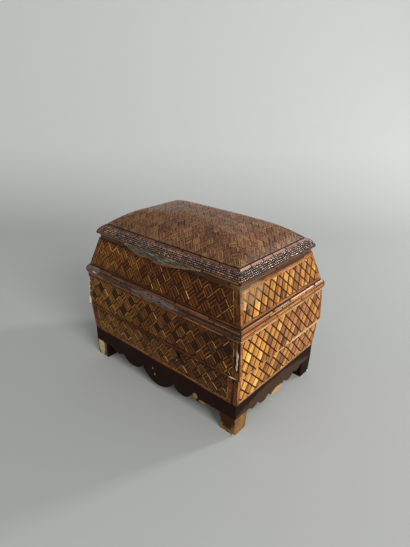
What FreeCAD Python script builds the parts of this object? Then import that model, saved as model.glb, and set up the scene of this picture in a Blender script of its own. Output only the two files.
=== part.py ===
import FreeCAD, Part
import os
import re

import Sketcher
from FreeCAD import Placement, Rotation, Vector

# A keepsake casket on four block feet, about 216 mm wide. The plinth has a scalloped apron, the
# lower stage holds a drawer, the middle and upper stages hold the compartment, and a crowned lid
# is hinged at the back. The origin is on the floor under the middle of the casket. +Z is up, the
# front looks along -Y, and right is +X as seen by someone who faces the front.
# An offset is how far a face stands outside the plinth's own outer face, in plan.

SIZES = {
    # plan of the plinth, and the heights of the stages
    "half_width": 105.0,
    "half_depth": 70.5,
    "foot_height": 20.0,
    "plinth_height": 16.0,
    "lower_height": 32.0,
    "middle_height": 44.0,
    "upper_height": 37.3,
    # how far each stage leans or steps, which gives the casket its outline
    "lower_flare": 2.0,
    "seam_step": 2.0,
    "middle_lean": 2.0,
    "upper_lean": 10.8,
    # boards
    "wall": 4.0,
    "plinth_board": 6.0,
    "base_board": 4.0,
    "dust_board": 3.5,
    # feet: a tapered block below the plinth, and a post glued into the plinth's corner
    "foot_width": 19.0,
    "foot_taper": 1.6,
    "foot_post": 12.0,
    # scalloped apron of the front: the plain runs beside the feet, and the lobes between them,
    # where the centre lobe takes what the others leave
    "run_left": 8.0,
    "run_right": 16.0,
    "small_lobe_left": 21.5,
    "wide_lobe_left": 33.0,
    "wide_lobe_right": 25.5,
    "small_lobe_right": 20.5,
    "small_lobe_drop": 4.2,
    "wide_lobe_drop": 8.4,
    "centre_lobe_drop": 14.2,
    # scalloped apron of the sides, where the two wide lobes take what the others leave
    "side_run": 4.0,
    "side_small_lobe": 13.5,
    "side_centre_lobe": 28.0,
    "side_small_drop": 3.6,
    "side_wide_drop": 6.4,
    "side_centre_drop": 10.5,
    # half-round band round the waist
    "band_above": 6.0,
    "band_below": 4.5,
    "band_stand": 1.8,
    # lid: moulded rim and crowned panel
    "lid_gap": 0.2,
    "rim_height": 14.7,
    "rim_recess": 1.0,
    "rim_fascia": 3.4,
    "rim_cove": 1.6,
    "rim_lip": 1.6,
    "rim_overhang": 2.0,
    "rim_shoulder": 6.5,
    "rim_swell": 0.9,
    "rim_ledge": 4.0,
    "panel_rebate": 3.3,
    "crown_rise": 20.0,
    "cross_rise": 21.5,
    "crown_wall": 4.0,
    "haunch_run": 20.0,
    "haunch_rise": 13.0,
    "bulge_run": 9.6,
    "bulge_rise": 7.0,
    # hinges at the back
    "hinge_inset": 34.2,
    "hinge_width": 16.0,
    "leaf_thickness": 0.8,
    "leaf_depth": 3.2,
    "lid_leaf_depth": 7.0,
    "barrel_radius": 1.4,
    "barrel_standoff": 0.3,
    "pin_radius": 0.6,
    "pin_play": 0.05,
    "knuckle_gap": 0.2,
    # drawer
    "drawer_play": 0.3,
    "drawer_front": 4.5,
    "drawer_side": 3.0,
    "drawer_floor": 2.5,
    "drawer_side_height": 26.0,
    # keyhole and lock behind it
    "keyhole_side": 34.0,
    "keyhole_height": 24.0,
    "key_eye": 2.7,
    "key_slot": 1.5,
    "key_drop": 5.2,
    "lock_width": 18.0,
    "lock_height": 15.5,
    "lock_depth": 5.0,
    "lock_plate": 1.2,
    "lock_below_edge": 0.8,
    "bolt_width": 10.0,
    "bolt_height": 9.5,
    "bolt_thickness": 2.0,
    "bolt_play": 0.3,
    "bolt_travel": 3.5,
    "talon_width": 6.2,
    "talon_height": 5.5,
    # how far a cutting outline runs past the wood, and how much longer a blank is than its board
    "waste": 30.0,
    "offcut": 1.0,
}

# Heights of the joints between the stages, from the floor up
PLINTH_TOP = "(foot_height + plinth_height)"
SEAM = f"({PLINTH_TOP} + lower_height)"
WAIST = f"({SEAM} + middle_height)"
NECK = f"({WAIST} + upper_height)"
LID_FOOT = f"({NECK} + lid_gap)"
RIM_TOP = f"({LID_FOOT} + rim_height)"

# Offsets of the outer faces at those heights
SEAM_OUT = "(lower_flare + seam_step)"
WAIST_OUT = f"({SEAM_OUT} - middle_lean)"
NECK_OUT = f"({WAIST_OUT} - upper_lean)"
RIM_OUT = f"({NECK_OUT} + rim_overhang)"
SHOULDER_OUT = f"({NECK_OUT} - rim_shoulder)"

# Each side of the casket in turn: its own distance from the middle, and its neighbours'
SIDES = {
    "front": ("half_depth", "half_width"),
    "right": ("half_width", "half_depth"),
    "back": ("half_depth", "half_width"),
    "left": ("half_width", "half_depth"),
}
UPRIGHT = Vector(0, 0, 1)
RIGHT_ANGLE = 90
TURNS = {side: Rotation(UPRIGHT, RIGHT_ANGLE * place) for place, side in enumerate(SIDES)}
LEAST_CUT = 0.01

document = FreeCAD.newDocument("straw_casket")
sheet = document.addObject("Spreadsheet::Sheet", "Sizes")
for row, (name, number) in enumerate(SIZES.items(), start=1):
    sheet.set(f"A{row}", str(number))
    sheet.setAlias(f"A{row}", name)
document.recompute()

parts = []
cuts = []


def linked(expression):
    """The expression with each of the sheet's names written so that any object can read it."""
    def spelt(word):
        return f"Sizes.{word.group()}" if word.group() in SIZES else word.group()
    return re.sub("[a-z_]+", spelt, expression)


def measure(expression):
    """What the expression comes to, in millimetres."""
    return float(sheet.evalExpression(expression))


def bind(thing, **expressions):
    """Ties properties of an object to the sheet; a double underscore stands for a dot."""
    for path, expression in expressions.items():
        thing.setExpression(path.replace("__", "."), linked(expression))


# Sketching

def sketch_on(body, role, name, lift=None):
    """An empty sketch on one of the body's own planes, lifted off it if asked."""
    plane = next(item for item in body.Origin.OriginFeatures if item.Role == role)
    sketch = body.newObject("Sketcher::SketchObject", f"{body.Name}_{name}")
    sketch.AttachmentSupport = [(plane, "")]
    sketch.MapMode = "FlatFace"
    if lift:
        bind(sketch, AttachmentOffset__Base__z=lift)
    return sketch


def fix_point(sketch, curve, end, across, up):
    """Sets a point of the sketch at its two distances from the origin."""
    for kind, expression in (("DistanceX", across), ("DistanceY", up)):
        rule = sketch.addConstraint(Sketcher.Constraint(kind, -1, 1, curve, end, measure(expression)))
        sketch.setExpression(f"Constraints[{rule}]", linked(expression))


def draw_outline(sketch, corners, through=None):
    """A closed outline through the corners. An edge that through names is an arc by way of a point."""
    through = through or {}
    spots = [Vector(measure(across), measure(up), 0) for across, up in corners]
    edges = []
    for place, start in enumerate(spots):
        stop = spots[(place + 1) % len(spots)]
        if place in through:
            middle = Vector(*(measure(part) for part in through[place]), 0)
            curve = sketch.addGeometry(Part.Arc(start, middle, stop))
        else:
            curve = sketch.addGeometry(Part.LineSegment(start, stop))
        head, tail = sorted((1, 2), key=lambda end: sketch.getPoint(curve, end).distanceToPoint(start))
        edges.append((curve, head, tail))
    for place, (curve, head, tail) in enumerate(edges):
        following, next_head, _ = edges[(place + 1) % len(edges)]
        sketch.addConstraint(Sketcher.Constraint("Coincident", curve, tail, following, next_head))
        fix_point(sketch, curve, head, *corners[place])
        if place in through:
            middle = Vector(*(measure(part) for part in through[place]), 0)
            point = sketch.addGeometry(Part.Point(middle), True)
            sketch.addConstraint(Sketcher.Constraint("PointOnObject", point, 1, curve))
            fix_point(sketch, point, 1, *through[place])


def rectangle(left, low, right, high):
    """The four corners of a rectangle in a sketch."""
    return [(left, low), (right, low), (right, high), (left, high)]


# Solid features

def new_body(label):
    """A body of its own for one piece of the casket."""
    body = document.addObject("PartDesign::Body", label)
    body.Label = label
    parts.append(body)
    return body


def pad(body, sketch, length, both_ways=False):
    """Adds the sketch's area, extruded along its normal."""
    feature = body.newObject("PartDesign::Pad", f"{sketch.Name}_pad")
    feature.Profile = sketch
    feature.SideType = "Symmetric" if both_ways else "One side"
    bind(feature, Length=length)
    sketch.Visibility = False
    body.Tip = feature
    return feature


def pocket(body, sketch, length=None, backwards=False):
    """Removes the sketch's area, right through both ways unless a length is given."""
    before = body.Tip
    feature = body.newObject("PartDesign::Pocket", f"{sketch.Name}_pocket")
    feature.Profile = sketch
    if length:
        feature.SideType = "One side"
        feature.Reversed = backwards
        bind(feature, Length=length)
    else:
        feature.SideType = "Symmetric"
        feature.Type = "ThroughAll"
    sketch.Visibility = False
    body.Tip = feature
    cuts.append((before, feature))
    return feature


def mirrored(corners):
    """The same corners on the other side of the middle."""
    return [(f"-({across})", up) for across, up in corners]


def mitre_waste(distance, reach):
    """What the mitre saw takes off the right end of a board, in plan."""
    return [
        (f"{reach} - waste", f"-{distance} + waste"),
        (f"{reach} + waste", f"-{distance} - waste"),
        (f"{reach} + waste", f"-{distance} + waste"),
    ]


def end_waste(low_end, low, high_end, high):
    """What is sawn off the right end of a board so that its end leans, seen from the front."""
    return [(low_end, low), (f"{low_end} + waste", low), (f"{high_end} + waste", high), (high_end, high)]


def side_board(label, side, profile, waste, waste_plane, through=None):
    """A board on one side of the casket: its profile run along the side and cut off at both ends."""
    distance, reach = SIDES[side]
    body = new_body(label)
    section = sketch_on(body, "YZ_Plane", "profile")
    placed = [(f"-({distance} + {out})", up) for out, up in profile]
    arcs = {edge: (f"-({distance} + {out})", up) for edge, (out, up) in (through or {}).items()}
    draw_outline(section, placed, arcs)
    pad(body, section, f"2 * ({reach} + waste / 2)", both_ways=True)
    ends = sketch_on(body, waste_plane, "ends")
    draw_outline(ends, waste)
    draw_outline(ends, mirrored(waste))
    pocket(body, ends)
    body.Placement = Placement(Vector(), TURNS[side])
    return body


def mitred_board(label, side, profile, through=None):
    """A board or moulding that meets its neighbours in a mitre."""
    distance, reach = SIDES[side]
    return side_board(label, side, profile, mitre_waste(distance, reach), "XY_Plane", through)


def box(label, low, size):
    """A plain board with square edges, from its lowest corner."""
    board = document.addObject("Part::Box", label)
    board.Label = label
    bind(board, Length=size[0], Width=size[1], Height=size[2])
    bind(board, Placement__Base__x=low[0], Placement__Base__y=low[1], Placement__Base__z=low[2])
    return board


# Plinth, feet and base

def lobe_line(reach, run, lobes):
    """The waste under a scalloped apron: straight, then the lobes as arcs, then straight again."""
    floor_line = "foot_height - waste"
    corners = [(f"-({reach} + waste)", floor_line), (f"-({reach} + waste)", "foot_height")]
    arcs = {}
    cusp = f"(-{reach} + foot_width + {run})"
    corners.append((cusp, "foot_height"))
    for width, drop in lobes:
        arcs[len(corners) - 1] = (f"{cusp} + {width} / 2", f"foot_height - {drop}")
        cusp = f"({cusp} + {width})"
        corners.append((cusp, "foot_height"))
    corners.append((f"{reach} + waste", "foot_height"))
    corners.append((f"{reach} + waste", floor_line))
    return corners, arcs


CENTRE_LOBE = "(2 * (half_width - foot_width) - run_left - run_right - small_lobe_left" \
              " - wide_lobe_left - wide_lobe_right - small_lobe_right)"
SIDE_WIDE_LOBE = "(half_depth - foot_width - side_run - side_small_lobe - side_centre_lobe / 2)"
LONG_LOBES = [
    ("small_lobe_left", "small_lobe_drop"),
    ("wide_lobe_left", "wide_lobe_drop"),
    (CENTRE_LOBE, "centre_lobe_drop"),
    ("wide_lobe_right", "wide_lobe_drop"),
    ("small_lobe_right", "small_lobe_drop"),
]
SHORT_LOBES = [
    ("side_small_lobe", "side_small_drop"),
    (SIDE_WIDE_LOBE, "side_wide_drop"),
    ("side_centre_lobe", "side_centre_drop"),
    (SIDE_WIDE_LOBE, "side_wide_drop"),
    ("side_small_lobe", "side_small_drop"),
]


def plinth_side(side):
    """One mitred plinth board with its fretted apron."""
    reach = SIDES[side][1]
    if side in ("front", "back"):
        run, lobes, drop = "run_left", LONG_LOBES, "centre_lobe_drop"
    else:
        run, lobes, drop = "side_run", SHORT_LOBES, "side_centre_drop"
    lowest = f"foot_height - {drop} - offcut"
    body = mitred_board(f"plinth_{side}", side, rectangle("-plinth_board", lowest, "0", PLINTH_TOP))
    corners, arcs = lobe_line(reach, run, lobes)
    fret = sketch_on(body, "XZ_Plane", "fret")
    draw_outline(fret, corners, arcs)
    pocket(body, fret)


def foot(label, across, along, side):
    """A tapered block foot with its outer corner under a corner of the plinth."""
    body = new_body(label)
    sole = sketch_on(body, "XY_Plane", "sole")
    outer = "foot_taper / 2"
    inner = "foot_width - foot_taper"
    draw_outline(sole, rectangle(outer, outer, inner, inner))
    crown = sketch_on(body, "XY_Plane", "crown", lift="foot_height")
    draw_outline(crown, rectangle("0", "0", "foot_width", "foot_width"))
    block = body.newObject("PartDesign::AdditiveLoft", f"{label}_block")
    block.Profile = sole
    block.Sections = [crown]
    body.Tip = block
    post = sketch_on(body, "XY_Plane", "post", lift="foot_height")
    near = "plinth_board"
    far = "plinth_board + foot_post"
    draw_outline(post, rectangle(near, near, far, far))
    pad(body, post, "plinth_height - base_board")
    body.Placement = Placement(Vector(), TURNS[side])
    bind(body, Placement__Base__x=across, Placement__Base__y=along)


def plinth_and_base():
    """The plinth's four boards, the feet and the board that the drawer runs on."""
    for side in SIDES:
        plinth_side(side)
    foot("foot_front_left", "-half_width", "-half_depth", "front")
    foot("foot_front_right", "half_width", "-half_depth", "right")
    foot("foot_back_right", "half_width", "half_depth", "back")
    foot("foot_back_left", "-half_width", "half_depth", "left")
    parts.append(box(
        "base_board",
        ("plinth_board - half_width", "plinth_board - half_depth", f"{PLINTH_TOP} - base_board"),
        ("2 * (half_width - plinth_board)", "2 * (half_depth - plinth_board)", "base_board"),
    ))


# Carcase walls

def leaning(low_out, low, high_out, high):
    """The profile of a wall that leans: as thick at the top as at the bottom, measured level."""
    return [
        (f"{low_out} - wall", low),
        (low_out, low),
        (high_out, high),
        (f"{high_out} - wall", high),
    ]


def lower_out(height):
    """Offset of the lower stage's outer face at a height above the plinth."""
    return f"(lower_flare * ({height}) / lower_height)"


def wall_ring(stage, low_out, low, high_out, high, sides):
    """Straight-cut walls: the side boards run the full depth, and the others stand between them."""
    profile = leaning(low_out, low, high_out, high)
    for side in sides:
        reach = SIDES[side][1]
        inset = "" if side in ("left", "right") else " - wall"
        low_end = f"{reach} + {low_out}{inset}"
        high_end = f"{reach} + {high_out}{inset}"
        waste = end_waste(low_end, low, high_end, high)
        side_board(f"{stage}_{side}", side, profile, waste, "XZ_Plane")


def carcase():
    """The lower, middle and upper stages, and the board between the drawer and the compartment."""
    wall_ring("lower", "0", PLINTH_TOP, "lower_flare", SEAM, ("left", "right", "back"))
    wall_ring("middle", SEAM_OUT, SEAM, WAIST_OUT, WAIST, SIDES)
    for side in SIDES:
        wall = mitred_board(f"upper_{side}", side, leaning(WAIST_OUT, WAIST, NECK_OUT, NECK))
        if side == "back":
            hinge_recesses(wall, NECK, backwards=False)
    inside = f"{SEAM_OUT} - wall - drawer_play"
    board = box(
        "dust_board_blank",
        (f"-(half_width + {inside})", f"-(half_depth + {inside})", SEAM),
        (f"2 * (half_width + {inside})", f"2 * (half_depth + {inside})", "dust_board"),
    )
    mortise_top = f"{BOLT_TOP} + bolt_travel + bolt_play"
    mortise = box(
        "bolt_mortise",
        ("keyhole_side - bolt_width / 2 - bolt_play", f"{BOLT_FRONT} - bolt_play", f"{SEAM} - offcut"),
        (
            "bolt_width + 2 * bolt_play",
            "bolt_thickness + 2 * bolt_play",
            f"{mortise_top} - ({SEAM} - offcut)",
        ),
    )
    cut = document.addObject("Part::Cut", "dust_board_cut")
    cut.Label = "dust_panel"
    cut.Base = board
    cut.Tool = mortise
    parts.append(cut)


def waist_bands():
    """The half-round strips that cover the joint between the middle and upper stages."""
    low = f"({WAIST} - band_below)"
    high = f"({WAIST} + band_above)"
    low_out = f"({WAIST_OUT} + middle_lean * band_below / middle_height)"
    high_out = f"({WAIST_OUT} - upper_lean * band_above / upper_height)"
    profile = [(low_out, low), (high_out, high), (WAIST_OUT, WAIST)]
    crest = {0: (f"({WAIST_OUT} + band_stand)", WAIST)}
    for side in SIDES:
        mitred_board(f"waist_band_{side}", side, profile, crest)


# Lid

def rim_profile():
    """The lid's moulding: fascia, cove and lip outside, an ovolo above, and a rebate for the panel."""
    cove = f"({LID_FOOT} + rim_fascia)"
    lip = f"({cove} + rim_cove)"
    ovolo = f"({lip} + rim_lip)"
    rebate = f"({RIM_TOP} - panel_rebate)"
    inner = f"({SHOULDER_OUT} - rim_ledge)"
    recessed = f"({NECK_OUT} - rim_recess)"
    profile = [
        (inner, LID_FOOT),
        (recessed, LID_FOOT),
        (recessed, cove),
        (RIM_OUT, lip),
        (RIM_OUT, ovolo),
        (SHOULDER_OUT, RIM_TOP),
        (SHOULDER_OUT, rebate),
        (inner, rebate),
    ]
    swell_out = f"(({RIM_OUT} + {SHOULDER_OUT}) / 2 + rim_swell)"
    swell_up = f"(({ovolo} + {RIM_TOP}) / 2 + rim_swell)"
    return profile, {4: (swell_out, swell_up)}


def crown_arch(half, rise, inset):
    """The arched section of the crown from one edge to the other: a haunch, a shallower arc and
    another haunch. The inset is how far inside the outer face and below it the section lies."""
    edge = f"({half} + {SHOULDER_OUT} - {inset})"
    spring = f"({RIM_TOP} - {inset})"
    haunch = f"({edge} - haunch_run)"
    shoulder = f"({spring} + haunch_rise)"
    bulge = (f"({edge} - bulge_run)", f"({spring} + bulge_rise)")
    corners = [(edge, spring), (haunch, shoulder), (f"-{haunch}", shoulder), (f"-{edge}", spring)]
    arcs = {
        0: bulge,
        1: ("0", f"({spring} + {rise})"),
        2: (f"-{bulge[0]}", bulge[1]),
    }
    return corners, arcs


def crown_vault(name, inset, low):
    """A block arched on top both ways, so that its haunches meet in a hip at each corner.
    The arch across the block is the higher one, so that only one of them shapes its very top."""
    body = document.addObject("PartDesign::Body", name)
    arch, arcs = crown_arch("half_width", "crown_rise", inset)
    long_section = sketch_on(body, "XZ_Plane", "long_section")
    right, left = arch[0][0], arch[-1][0]
    draw_outline(long_section, arch + [(left, low), (right, low)], arcs)
    pad(body, long_section, f"2 * (half_depth + {SHOULDER_OUT} - {inset})", both_ways=True)
    arch, arcs = crown_arch("half_depth", "cross_rise", inset)
    cross_section = sketch_on(body, "YZ_Plane", "cross_section")
    right, spring = arch[0]
    left = arch[-1][0]
    high = f"({RIM_TOP} + cross_rise + waste)"
    beyond = [
        (f"{left} - waste", spring),
        (f"{left} - waste", high),
        (f"{right} + waste", high),
        (f"{right} + waste", spring),
    ]
    draw_outline(cross_section, arch + beyond, arcs)
    pocket(body, cross_section)
    return body


def crown_panel():
    """The lid's crowned panel, hollow below, with a square edge that sits in the rim's rebate."""
    foot_level = f"({RIM_TOP} - panel_rebate)"
    cut = document.addObject("Part::Cut", "crown_cut")
    cut.Label = "crown_panel"
    cut.Base = crown_vault("crown_blank", "0", foot_level)
    cut.Tool = crown_vault("crown_hollow", "crown_wall", f"({foot_level} - crown_wall)")
    parts.append(cut)


def lid():
    """The crowned panel and the four mitred mouldings round it."""
    profile, swell = rim_profile()
    for side in SIDES:
        rim = mitred_board(f"rim_{side}", side, profile, swell)
        if side == "back":
            hinge_recesses(rim, LID_FOOT, backwards=True)
    crown_panel()


# Hinges. The back boards are drawn as a front one, so their hinges lie at -Y until they are turned.

HINGE_PLACE = f"(half_width + {NECK_OUT} - hinge_inset)"
HINGE_FACE = f"(half_depth + {NECK_OUT})"
AXIS_OUT = f"({HINGE_FACE} + barrel_standoff + barrel_radius)"
AXIS_HEIGHT = f"({NECK} + lid_gap / 2)"
HINGE_SIDES = {"left": f"-{HINGE_PLACE}", "right": HINGE_PLACE}


def leaf_plan(centre, depth, outer_edge):
    """The plan of a hinge leaf, or of its recess, on the back edge."""
    half = "hinge_width / 2"
    inner_edge = f"-({HINGE_FACE} - {depth})"
    return rectangle(f"{centre} - {half}", f"-{outer_edge}", f"{centre} + {half}", inner_edge)


def hinge_recesses(board, level, backwards):
    """Two shallow recesses for the hinge leaves, in the edge of a board at the parting."""
    depth = "lid_leaf_depth" if backwards else "leaf_depth"
    sketch = sketch_on(board, "XY_Plane", "recesses", lift=level)
    for centre in HINGE_SIDES.values():
        draw_outline(sketch, leaf_plan(centre, depth, f"({HINGE_FACE} + offcut)"))
    pocket(board, sketch, length="leaf_thickness", backwards=backwards)


def hinge_leaf(label, centre, depth, underside, knuckles):
    """A hinge leaf let into its board, with the knuckles that it carries and their bore."""
    body = new_body(label)
    plan = sketch_on(body, "XY_Plane", "plan", lift=underside)
    draw_outline(plan, leaf_plan(centre, depth, HINGE_FACE))
    pad(body, plan, "leaf_thickness")
    for place, (start, stop) in enumerate(knuckles):
        tab = sketch_on(body, "XY_Plane", f"tab_{place}", lift=underside)
        left = f"{centre} + {start}"
        right = f"{centre} + {stop}"
        draw_outline(tab, rectangle(left, f"-{AXIS_OUT}", right, f"-{HINGE_FACE}"))
        pad(body, tab, "leaf_thickness")
        barrel = sketch_on(body, "YZ_Plane", f"barrel_{place}", lift=f"{centre} + {start}")
        draw_circle(barrel, f"-{AXIS_OUT}", AXIS_HEIGHT, "barrel_radius")
        pad(body, barrel, f"({stop}) - ({start})")
    bore = sketch_on(body, "YZ_Plane", "bore")
    draw_circle(bore, f"-{AXIS_OUT}", AXIS_HEIGHT, "pin_radius + pin_play")
    pocket(body, bore)
    body.Placement = Placement(Vector(), TURNS["back"])


def draw_circle(sketch, across, up, radius):
    """A circle with its centre and radius tied to the sheet."""
    centre = Vector(measure(across), measure(up), 0)
    curve = sketch.addGeometry(Part.Circle(centre, UPRIGHT, measure(radius)))
    fix_point(sketch, curve, 3, across, up)
    rule = sketch.addConstraint(Sketcher.Constraint("Radius", curve, measure(radius)))
    sketch.setExpression(f"Constraints[{rule}]", linked(radius))


def hinges():
    """Two butt hinges: a leaf on the back wall, a leaf under the rim, and the pin through both."""
    edge = "hinge_width / 2"
    middle = "hinge_width / 6"
    outer_knuckles = [(f"-{edge}", f"-{middle} - knuckle_gap"), (f"{middle} + knuckle_gap", edge)]
    lid_knuckle = [(f"-{middle}", middle)]
    for side, centre in HINGE_SIDES.items():
        wall_leaf = f"hinge_wall_leaf_{side}"
        hinge_leaf(wall_leaf, centre, "leaf_depth", f"{NECK} - leaf_thickness", outer_knuckles)
        hinge_leaf(f"hinge_lid_leaf_{side}", centre, "lid_leaf_depth", LID_FOOT, lid_knuckle)
        pin = document.addObject("Part::Cylinder", f"hinge_pin_{side}")
        pin.Label = f"hinge_pin_{side}"
        bind(pin, Radius="pin_radius", Height="hinge_width")
        pin.Placement = Placement(Vector(), TURNS["back"] * Rotation(Vector(0, 1, 0), RIGHT_ANGLE))
        bind(pin, Placement__Base__x=f"-({centre}) + hinge_width / 2", Placement__Base__y=AXIS_OUT)
        bind(pin, Placement__Base__z=AXIS_HEIGHT)
        parts.append(pin)


# Drawer and lock

DRAWER_FOOT = f"({PLINTH_TOP} + drawer_play)"
DRAWER_TOP = f"({SEAM} - drawer_play)"
FRONT_BACK = "(drawer_front - half_depth)"
DRAWER_HALF = "(half_width - wall - drawer_play)"
DRAWER_END = "(half_depth - wall - drawer_play)"
KEYHOLE_LEVEL = f"({PLINTH_TOP} + keyhole_height)"
LOCK_TOP = f"({DRAWER_TOP} - lock_below_edge)"
BOLT_TOP = f"({LOCK_TOP} - bolt_play)"
BOLT_FRONT = f"({FRONT_BACK} + (lock_depth - bolt_thickness) / 2)"


def keyhole_outline():
    """A keyhole: a round eye with a slot below it."""
    level = KEYHOLE_LEVEL
    shoulder = f"{level} - sqrt(key_eye ^ 2 - key_slot ^ 2)"
    left = "keyhole_side - key_slot"
    right = "keyhole_side + key_slot"
    foot_level = f"{level} - key_drop"
    corners = [(left, shoulder), (left, foot_level), (right, foot_level), (right, shoulder)]
    return corners, {3: ("keyhole_side", f"{level} + key_eye")}


def drawer_front():
    """The drawer's front, which follows the lower stage's lean on its face and at both ends."""
    foot_out = lower_out("drawer_play")
    top_out = lower_out("lower_height - drawer_play")
    profile = [
        ("-drawer_front", DRAWER_FOOT),
        (foot_out, DRAWER_FOOT),
        (top_out, DRAWER_TOP),
        ("-drawer_front", DRAWER_TOP),
    ]
    low_end = f"{DRAWER_HALF} + {foot_out}"
    high_end = f"{DRAWER_HALF} + {top_out}"
    waste = end_waste(low_end, DRAWER_FOOT, high_end, DRAWER_TOP)
    body = side_board("drawer_front", "front", profile, waste, "XZ_Plane")
    keyhole = sketch_on(body, "XZ_Plane", "keyhole")
    draw_outline(keyhole, *keyhole_outline())
    pocket(body, keyhole)


def drawer_box():
    """The drawer's sides, back and bottom, butted to each other behind the front."""
    inner = f"({DRAWER_HALF} - drawer_side)"
    for side, left in (("left", f"-{DRAWER_HALF}"), ("right", inner)):
        parts.append(box(
            f"drawer_{side}",
            (left, FRONT_BACK, DRAWER_FOOT),
            ("drawer_side", f"{DRAWER_END} - {FRONT_BACK}", "drawer_side_height"),
        ))
    parts.append(box(
        "drawer_back",
        (f"-{inner}", f"{DRAWER_END} - drawer_side", DRAWER_FOOT),
        (f"2 * {inner}", "drawer_side", "drawer_side_height"),
    ))
    parts.append(box(
        "drawer_bottom",
        (f"-{inner}", FRONT_BACK, DRAWER_FOOT),
        (f"2 * {inner}", f"{DRAWER_END} - drawer_side - {FRONT_BACK}", "drawer_floor"),
    ))


def lock():
    """The lock on the back of the drawer's front: its case, and the bolt that the key lifts."""
    case = new_body("lock_case")
    face = sketch_on(case, "XZ_Plane", "face", lift=f"-{FRONT_BACK}")
    left = "keyhole_side - lock_width / 2"
    right = "keyhole_side + lock_width / 2"
    draw_outline(face, rectangle(left, f"{LOCK_TOP} - lock_height", right, LOCK_TOP))
    block = pad(case, face, "lock_depth")
    block.Reversed = True
    channel = sketch_on(case, "XY_Plane", "channel", lift=LOCK_TOP)
    half = "(bolt_width / 2 + bolt_play)"
    front = f"{BOLT_FRONT} - bolt_play"
    back = f"{BOLT_FRONT} + bolt_thickness + bolt_play"
    draw_outline(channel, rectangle(f"keyhole_side - {half}", front, f"keyhole_side + {half}", back))
    pocket(case, channel, length="bolt_height + 2 * bolt_play")
    keyhole = sketch_on(case, "XZ_Plane", "keyhole", lift=f"-{FRONT_BACK}")
    draw_outline(keyhole, *keyhole_outline())
    pocket(case, keyhole, length="lock_depth - lock_plate", backwards=False)

    bolt = new_body("lock_bolt")
    plate = sketch_on(bolt, "XZ_Plane", "plate", lift=f"-({BOLT_FRONT})")
    low = f"({BOLT_TOP} - bolt_height)"
    talon = f"({low} + talon_height)"
    half = "bolt_width / 2"
    notch = "talon_width / 2"
    draw_outline(plate, [
        (f"keyhole_side - {half}", low),
        (f"keyhole_side - {notch}", low),
        (f"keyhole_side - {notch}", talon),
        (f"keyhole_side + {notch}", talon),
        (f"keyhole_side + {notch}", low),
        (f"keyhole_side + {half}", low),
        (f"keyhole_side + {half}", BOLT_TOP),
        (f"keyhole_side - {half}", BOLT_TOP),
    ])
    slab = pad(bolt, plate, "bolt_thickness")
    slab.Reversed = True


plinth_and_base()
carcase()
waist_bands()
lid()
hinges()
drawer_front()
drawer_box()
lock()
document.recompute()

faults = [item.Name for item in document.Objects if {"Invalid", "Error"} & set(item.State)]
faults += [item.Label for item in parts if item.Shape.isNull() or not item.Shape.isValid()]
faults += [after.Name for before, after in cuts if after.Shape.Volume > before.Shape.Volume - LEAST_CUT]
if faults:
    raise RuntimeError(f"these features failed or cut nothing: {faults}")

os.makedirs("parts", exist_ok=True)
for item in parts:
    item.Shape.exportStep(f"parts/{item.Label}.step")
print(f"{len(parts)} pieces")
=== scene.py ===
import math
import random
from functools import partial, reduce

import bpy
import numpy
from mathutils import Matrix, Vector
from mathutils.bvhtree import BVHTree


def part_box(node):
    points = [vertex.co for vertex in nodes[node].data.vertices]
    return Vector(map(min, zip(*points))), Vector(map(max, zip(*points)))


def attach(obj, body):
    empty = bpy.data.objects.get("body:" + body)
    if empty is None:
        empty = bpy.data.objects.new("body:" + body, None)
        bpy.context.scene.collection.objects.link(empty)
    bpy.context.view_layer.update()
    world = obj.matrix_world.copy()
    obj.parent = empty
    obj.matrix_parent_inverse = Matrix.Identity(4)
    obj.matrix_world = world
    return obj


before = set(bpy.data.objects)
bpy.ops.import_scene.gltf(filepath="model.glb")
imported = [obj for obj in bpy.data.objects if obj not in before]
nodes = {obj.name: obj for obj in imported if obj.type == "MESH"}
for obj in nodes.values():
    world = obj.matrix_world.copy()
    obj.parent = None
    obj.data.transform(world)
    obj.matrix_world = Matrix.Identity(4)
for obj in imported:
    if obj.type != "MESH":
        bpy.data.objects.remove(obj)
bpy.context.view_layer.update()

# A straw marquetry casket. Its boards, mouldings and hinges come from the frame. This script lays
# the straw on them: blocks of split straw on every face, borders of long straws, and plaited straw
# on the lid's moulding, with the wear of an old piece. Lengths are in metres.

MM = 0.001  # one millimetre
dice = random.Random(7)


def low(node):
    """The lowest corner of a node of the frame."""
    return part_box(node)[0]


def high(node):
    """The highest corner of a node of the frame."""
    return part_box(node)[1]


# The casket's heights and half sizes, read from the boards that have them. An offset is how far a
# face stands outside the plinth in plan.
PLINTH_TOP = high("plinth_front").z
SEAM = low("middle_front").z
WAIST = low("upper_front").z
NECK = high("upper_front").z
BAND_LOW = low("waist_band_front").z
BAND_HIGH = high("waist_band_front").z
HALF_WIDTH = high("plinth_front").x
HALF_DEPTH = high("plinth_right").y
WALL = HALF_WIDTH - low("lower_right").x
LOWER_FLARE = high("lower_right").x - HALF_WIDTH
SEAM_OUT = high("middle_right").x - HALF_WIDTH
WAIST_OUT = high("upper_right").x - HALF_WIDTH
NECK_OUT = low("upper_right").x + WALL - HALF_WIDTH

SIDES = ("front", "right", "back", "left")
LONG_SIDES = ("front", "back")


def turned(side):
    """The turn about the upright axis that brings a front piece to its own side."""
    return Matrix.Rotation(math.radians(90 * SIDES.index(side)), 3, "Z")


def reach_of(side):
    """How far the side stands from the middle, and how far it runs to each end."""
    return (HALF_DEPTH, HALF_WIDTH) if side in LONG_SIDES else (HALF_WIDTH, HALF_DEPTH)


def link(item):
    bpy.context.scene.collection.objects.link(item)
    return item


# Camera, light and floor

CAMERA_PLACE = Vector((0.29178, -0.33388, 0.31342))
CAMERA_TURN = math.radians(40.75)
CAMERA_DIP = math.radians(24.12)
CAMERA_ROLL = math.radians(0.97)
LENS = 29.216


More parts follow.
